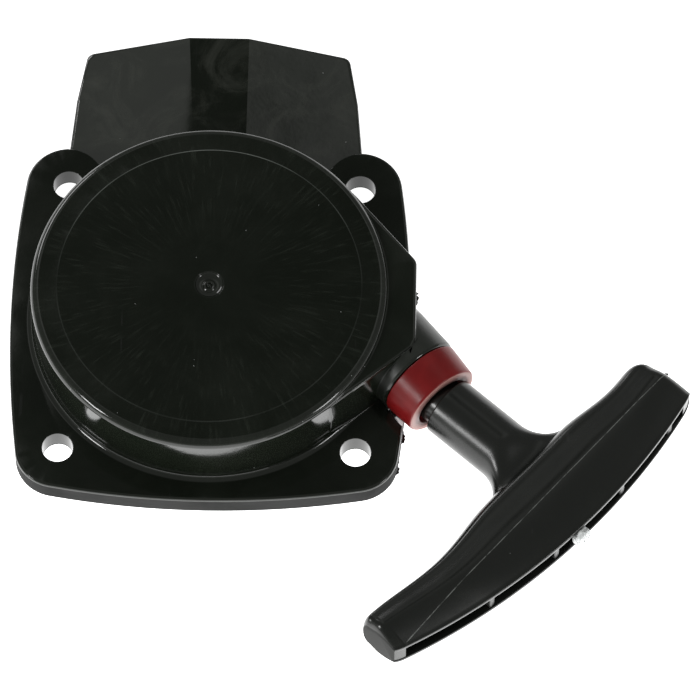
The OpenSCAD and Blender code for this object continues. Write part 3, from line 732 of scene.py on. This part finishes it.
def grip_ring(e, slot_depth):
    """Closed C-shaped section: over the top, round the lip, into the slot and back below."""
    k = end_scale(e)
    lean = end_lean(e)
    draw_in, kept = (NEAR_END if e < 0 else FAR_END)[2:]
    a = grip_inner(e) + max((1 - k) * draw_in, corner_in(GRIP_FAR - e, FAR_CORNER))
    b = grip_outer(e + lean) - (1 - k) * END_PULL_OUT
    upper = []
    for j in range(SKIN_STEPS + 1):
        q = (j / SKIN_STEPS) ** SKIN_CROWD
        thin = 1 - (1 - k) * (1 - kept * q * q)
        upper.append((a + (b - LIP_EDGE_R - a) * q, grip_half(q) * thin))
    lip = LIP_HALF * (1 - (1 - k) * (1 - kept))
    upper += arc(b - LIP_EDGE_R, lip - LIP_EDGE_R, LIP_EDGE_R, 90, 0, 4)[1:]
    slot = min(SLOT_H / 2, lip - LIP_EDGE_R - LEAST_LIP)
    upper += arc(b - SLOT_EDGE_R, slot + SLOT_EDGE_R, SLOT_EDGE_R, 0, -90, 3)
    upper.append((b - max(slot_depth, LEAST_SLOT), slot))
    lower = [(d, -z) for d, z in reversed(upper)]
    return [(d, e + lean * (d - a) / (b - a), z) for d, z in upper + lower[:-1]]


def grip_part():
    """The grip, hollow between the walls at the slot's ends, with a raised seat for the knot."""
    e_low, e_high = -GRIP_NEAR + NEAR_WALL, GRIP_FAR - FAR_WALL
    stations = {e_low - WALL_STEP, e_low + WALL_STEP, e_high - WALL_STEP, e_high + WALL_STEP}
    for i in range(GRIP_STEPS + 1):
        stations.add(round(-GRIP_NEAR + (GRIP_NEAR + GRIP_FAR) * i / GRIP_STEPS, 3))
    for i in range(END_STEPS):
        share = (i / END_STEPS) ** 2
        stations.add(round(-GRIP_NEAR + NEAR_END[0] * share, 4))
        stations.add(round(GRIP_FAR - FAR_END[0] * share, 4))
    rings = []
    for e in sorted(stations):
        inside = e_low < e < e_high
        floor = grip_inner(e) + SLOT_FLOOR
        if abs(e) < KNOT_SEAT_HALF:
            floor = max(floor, KNOT_SEAT_D)
        rings.append(grip_ring(e, grip_outer(e) - floor if inside else 0.0))
    return loft(rings)


def rib_part(e):
    """A thin web across the slot, with bevelled outer edges."""
    d0, d1 = grip_inner(e) + SLOT_FLOOR - RIB_SINK_D, grip_outer(e) - RIB_BACK
    half, r, top = RIB_T / 2, RIB_BEVEL, SLOT_H / 2 + RIB_SINK_Z
    outline = [(d0, -half), (d1 - r, -half), (d1, -half + r), (d1, half - r), (d1 - r, half), (d0, half)]
    return loft([[(d, e + y, z) for d, y in outline] for z in (-top, top)])


# The stem, in mm: places along it from the bumper's face (D), radii (R) and half sizes
FLARE_D = 19.0
FLARE_R = 8.4
ROOT_D = 34.0
ROOT_HALF = 4.4
ROOT_SQUARE = 0.3
NOSE_R = 6.0
NOSE_LEN = 5.0
NOSE_ROUND = 1.0
SHOULDER_D = 1.6
SHOULDER_ROUND = 0.4
BORE_R = 2.1
STEM_SIDES = 72
STEM_STEP = 0.5


def stem_half_sizes(d):
    """Half width and half height of the stem at d."""
    if d <= FLARE_D:
        return STEM_R, STEM_R
    t = min(1.0, (d - FLARE_D) / FLARE_R)
    width = STEM_R + FLARE_R - FLARE_R * math.sqrt(1 - t * t)
    return width, STEM_R + (ROOT_HALF - STEM_R) * ease(t)


def squared(value, power):
    """Signed power of a sine or cosine; below 1 it makes a round section squarer."""
    return math.copysign(abs(value) ** power, value)


def stem_part():
    """Hollow nose inside the bumper, a shoulder, and a flare that flattens and squares into the grip."""
    profile = [(0.0, BORE_R), (-NOSE_LEN, BORE_R)]
    profile += arc(NOSE_ROUND - NOSE_LEN, NOSE_R - NOSE_ROUND, NOSE_ROUND, 180, 90, 6)
    profile += [(SHOULDER_D, NOSE_R), (SHOULDER_D, STEM_R - SHOULDER_ROUND - 0.1)]
    profile += arc(SHOULDER_D + SHOULDER_ROUND, STEM_R - SHOULDER_ROUND, SHOULDER_ROUND, 180, 90, 6)
    rings = [[(d, r * math.cos(a), r * math.sin(a)) for a in turns(STEM_SIDES)] for d, r in profile]
    d = SHOULDER_D + 1.5
    while d <= ROOT_D:
        half_w, half_h = stem_half_sizes(d)
        power = 1.0 - ROOT_SQUARE * (1 - half_h / STEM_R) / (1 - ROOT_HALF / STEM_R)
        ring = []
        for a in turns(STEM_SIDES):
            ring.append((d, half_w * squared(math.cos(a), power), half_h * squared(math.sin(a), power)))
        rings.append(ring)
        d += STEM_STEP
    return loft(rings, caps=False)


def nub_part():
    """A bit of flash left where the parting line reaches the far end."""
    return loft(tube_rings([Vector(p) for p in NUB_PATH], NUB_RADII, 10))


def add_handle(material, rib_sheen_material):
    """Grip, stem and nub in one moulding; the ribs across its slot take a paler colour, a painted reflection.
    """
    body_points, body_faces = join_parts([grip_part(), stem_part(), nub_part()])
    points, faces = join_parts([(body_points, body_faces)] + [rib_part(e) for e in RIB_E])
    handle = add_mesh("handle", points, faces, handle_matrix(), material)
    handle.data.materials.append(rib_sheen_material)
    for polygon in handle.data.polygons:
        if min(polygon.vertices) >= len(body_points):
            polygon.material_index = 1
    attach(handle, "handle_body")
    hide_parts("handle_grip")


# ---------------------------------------------------------------- rope

def tube_rings(path, radii, sides):
    """Rings round a path; a ring's first point stays on the same side all along."""
    rings = []
    side = Vector((0, 0, 1))
    for i, (p, r) in enumerate(zip(path, radii)):
        way = (path[min(i + 1, len(path) - 1)] - path[max(i - 1, 0)]).normalized()
        side = (side - way * side.dot(way)).normalized()
        across = way.cross(side)
        rings.append([tuple(p + (side * math.cos(a) + across * math.sin(a)) * r) for a in turns(sides)])
    return rings


def smooth_path(points, steps):
    """Catmull-Rom curve through the points."""
    path = []
    for i in range(len(points) - 1):
        a, b = points[max(i - 1, 0)], points[i]
        c, d = points[i + 1], points[min(i + 2, len(points) - 1)]
        for k in range(steps):
            t = k / steps
            square, cube = a * 2 - b * 5 + c * 4 - d, b * 3 - a - c * 3 + d
            path.append((b * 2 + (c - a) * t + square * t ** 2 + cube * t ** 3) / 2)
    return path + [points[-1]]


# The rope stretches between two places in the outlet, and ends at the knot, all in mm
ROPE_STOP_D = 37.0
ROPE_SIDES = 28


def rope_route():
    """Round the last quarter turn of the coil, out along the tube and into the stem, in mm."""
    points = []
    for a in range(90, 9, -10):
        turn = math.radians(OUTLET_ANGLE + 90 + a)
        points.append(Vector((OUTLET_OFFSET * math.cos(turn), OUTLET_OFFSET * math.sin(turn), ROPE_Z)))
    for u in (0, 8, 16, 24, 32, 38, 42, 46):
        points.append(Vector((*outlet_point(u, OUTLET_OFFSET), ROPE_Z)))
    start = handle_matrix()
    for d in (-4.5, -1, 6, 14, 22, 30, ROPE_STOP_D):
        points.append(start @ Vector((d * MM, 0, 0)) / MM)
    return smooth_path(points, 6)


def add_pull_rope(material):
    """One rope from the coil to the knot."""
    path = rope_route()
    points, faces = loft(tube_rings(path, [ROPE_R] * len(path), ROPE_SIDES))
    rope = add_mesh("pull_rope", points, faces, Matrix.Identity(4), material)
    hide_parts("rope_lead", "rope_in_stem")
    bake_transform(rope)


# The knot: its middle, half sizes and rope radius, and the lump at the rope's end, in handle mm
KNOT_D = 40.0
KNOT_HALF = (0.95, 2.5, 1.1)
KNOT_ROPE_R = 1.25
KNOT_STEPS = 24
KNOT_SIDES = 18
LUMP = (48.7, -4.7, 0.7)
LUMP_RADII = (1.9, 2.35, 2.5)
LUMP_ROWS = 22
LUMP_SIDES = 36
# Share of the radius, frequency and place in the noise of each swelling
LUMP_SWELLS = ((0.16, 1.9, (0, 0, 0)), (0.08, 5.0, (4, 1, 7)))
FRAY_COUNT = 16
FRAY_STEPS = 5
FRAY_R = 0.10
FRAY_THINS = 0.014


def knot_path():
    """Overhand knot inside the slot, in handle coordinates."""
    points = []
    for i in range(KNOT_STEPS + 1):
        a = 2 * math.pi * i / KNOT_STEPS
        d = KNOT_D + KNOT_HALF[0] * (math.sin(a) + 0.55 * math.sin(2 * a))
        e = KNOT_HALF[1] * (math.cos(a) - 0.35 * math.cos(2 * a))
        points.append(Vector((d, e, KNOT_HALF[2] * math.sin(3 * a))))
    return smooth_path(points, 3)


def lump_part():
    """The melted, lumpy end of the rope, bulging past the slot's lips."""
    rings = []
    for i in range(1, LUMP_ROWS):
        tilt = math.pi * i / LUMP_ROWS
        ring = []
        for turn in turns(LUMP_SIDES):
            n = Vector((math.sin(tilt) * math.cos(turn), math.sin(tilt) * math.sin(turn), math.cos(tilt)))
            swell = 1 + sum(share * noise.noise(n * rate + Vector(at)) for share, rate, at in LUMP_SWELLS)
            ring.append(tuple(LUMP[axis] + n[axis] * LUMP_RADII[axis] * swell for axis in range(3)))
        rings.append(ring)
    return loft(rings)


def fray_part():
    """A short loose filament from the lump's skin."""
    way = Vector((random.uniform(0.1, 1.0), random.uniform(-1, 1), random.uniform(-0.9, 0.9))).normalized()
    root = Vector([LUMP[i] + way[i] * LUMP_RADII[i] * 0.85 for i in range(3)])
    length = random.uniform(0.5, 1.0)
    bend = Vector((0, random.uniform(-0.5, 0.5), random.uniform(-0.5, 0.5)))
    steps = range(FRAY_STEPS + 1)
    path = [root + way * length * k / FRAY_STEPS + bend * (k / FRAY_STEPS) ** 2 for k in steps]
    return loft(tube_rings(path, [FRAY_R - FRAY_THINS * k for k in steps], 6))


def add_rope_knot(material):
    """The knot, and the rope's end that comes out of it and out of the slot."""
    tail = smooth_path([Vector((KNOT_D, 0.6, 0)), Vector((KNOT_D + 3.5, -1.6, 0.4)), Vector(LUMP)], 8)
    parts = [loft(tube_rings(path, [KNOT_ROPE_R] * len(path), KNOT_SIDES)) for path in (knot_path(), tail)]
    parts.append(lump_part())
    parts += [fray_part() for _ in range(FRAY_COUNT)]
    points, faces = join_parts(parts)
    knot = add_mesh("rope_knot", points, faces, handle_matrix(), material)
    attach(knot, "handle_body")
    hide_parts("handle_knot")


# ---------------------------------------------------------------- moulding flash

# Start, end and height of each ragged strip, in mm
FLASH_STRIPS = (
    ((50.0, 5.8), (50.0, 9.8), 2.2),
    ((47.5, -27.3), (47.0, -30.8), 0.3),
    ((46.2, -34.6), (45.9, -39.2), 0.3),
)
FLASH_STEPS = 8
FLASH_THICK = 0.35
FLASH_MOST = 0.95
FLASH_LEAST = 0.06
FLASH_ROOT = 0.5


def flash_part(start, end, height):
    """A thin strip along an edge, rooted in it, whose outer side is ragged."""
    a, b = Vector(start), Vector(end)
    way = (b - a).normalized()
    out = Vector((-way.y, way.x))
    if out.dot(a) < 0:
        out = -out
    rings = []
    for i in range(FLASH_STEPS + 1):
        taper = min(1.0, 5 * math.sin(math.pi * i / FLASH_STEPS))
        reach = taper * FLASH_MOST * random.choice((0.3, 0.7, 0.9, 1.0)) * random.uniform(0.7, 1.0)
        edge = a + (b - a) * i / FLASH_STEPS
        p, q = edge - out * FLASH_ROOT, edge + out * max(FLASH_LEAST, reach)
        thin = FLASH_THICK * random.uniform(0.6, 1.0)
        top = [(q.x, q.y, height + thin * 0.6), (p.x, p.y, height + thin)]
        rings.append([(p.x, p.y, height), (q.x, q.y, height)] + top)
    return loft(rings)


def add_flash(material):
    points, faces = join_parts([flash_part(*strip) for strip in FLASH_STRIPS])
    flash = add_mesh("moulding_flash", points, faces, Matrix.Identity(4), material)
    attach(flash, "housing_body")


# ---------------------------------------------------------------- carried-over CAD nodes

WELD_DISTANCE = 0.002 * MM


def smooth_group():
    """A geometry node group that shades every face smooth."""
    group = bpy.data.node_groups.new("shade_smooth", "GeometryNodeTree")
    group.interface.new_socket("Geometry", in_out="INPUT", socket_type="NodeSocketGeometry")
    group.interface.new_socket("Geometry", in_out="OUTPUT", socket_type="NodeSocketGeometry")
    entry = group.nodes.new("NodeGroupInput")
    smooth = group.nodes.new("GeometryNodeSetShadeSmooth")
    end = group.nodes.new("NodeGroupOutput")
    group.links.new(entry.outputs[0], smooth.inputs[0])
    group.links.new(smooth.outputs[0], end.inputs[0])
    return group


def finish_cad(name, material, group, bevel):
    """Material, even shading and edges softened by a bevel in mm; the CAD node's mesh stays as it is."""
    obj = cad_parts[name]
    for slot in obj.material_slots:
        slot.material = material
    weld = obj.modifiers.new("weld", "WELD")
    weld.merge_threshold = WELD_DISTANCE
    smooth = obj.modifiers.new("smooth", "NODES")
    smooth.node_group = group
    if bevel:
        edge = obj.modifiers.new("edge", "BEVEL")
        edge.width = bevel * MM
        edge.segments = 2
        edge.limit_method = "ANGLE"
        edge.angle_limit = SMOOTH_ANGLE
        edge.use_clamp_overlap = False
    normals = obj.modifiers.new("normals", "WEIGHTED_NORMAL")
    normals.keep_sharp = True


BRIGHT_NODES = (
    "post_bush", "spring_case", "retaining_washer", "centre_screw",
    "pawl_pins", "pawl_a", "pawl_b", "knot_plate",
)
SPRING_NODES = ("mainspring", "pawl_spring_a", "pawl_spring_b", "friction_spring")


def main():
    """Camera and studio, then finishes for the CAD nodes that stay, then the pieces made here."""
    add_camera()
    add_studio()
    # The ribs' paler colour is a painted reflection; they are the grip's own black plastic.
    rib_sheen_plastic = black_plastic("rib_black_sheen", (0.02, 0.021, 0.02), (0.05, 0.05, 0.048), 0.3, 0.45)
    flash_plastic = black_plastic("flash_black", (0.005, 0.006, 0.005), (0.02, 0.02, 0.02), 0.35, 0.55)
    maroon = (0.165, 0.004, 0.005), (0.235, 0.008, 0.009)
    bumper_red = rubber("bumper_maroon", *maroon, 0.3, 0.4, end_face=True)
    reel_plastic = black_plastic("reel_black", (0.012, 0.012, 0.012), (0.02, 0.02, 0.02), 0.35, 0.5)
    bright = metal("bright_zinc", (0.5, 0.5, 0.5), (0.68, 0.68, 0.66), 0.22, 0.38)
    blue_steel = metal("spring_blue", (0.2, 0.22, 0.26), (0.34, 0.36, 0.4), 0.2, 0.34)
    brass = metal("eyelet_brass", (0.55, 0.4, 0.16), (0.72, 0.55, 0.26), 0.2, 0.34)
    guide_plastic = rubber("guide_acetal", (0.55, 0.52, 0.44), (0.68, 0.65, 0.57), 0.35, 0.5)
    rope = braid("rope_braid", (0.42, 0.42, 0.4), (0.78, 0.78, 0.75))
    group = smooth_group()
    finish_cad("housing", housing_plastic_material(), group, 0.15)
    finish_cad("rope_bumper", bumper_red, group, 0.0)
    for name in BRIGHT_NODES:
        finish_cad(name, bright, group, 0.1)
    finish_cad("spring_anchor_pin", bright, group, 0.0)
    for name in SPRING_NODES:
        finish_cad(name, blue_steel, group, 0.0)
    finish_cad("rope_eyelet", brass, group, 0.0)
    finish_cad("reel", reel_plastic, group, 0.15)
    finish_cad("pawl_guide", guide_plastic, group, 0.15)
    for name in ("rope_coil", "reel_knot"):
        finish_cad(name, rope, group, 0.0)
    add_pull_rope(rope)
    add_rope_knot(melted_nylon("rope_melted"))
    add_handle(handle_plastic_material(), rib_sheen_plastic)
    add_flash(flash_plastic)


main()
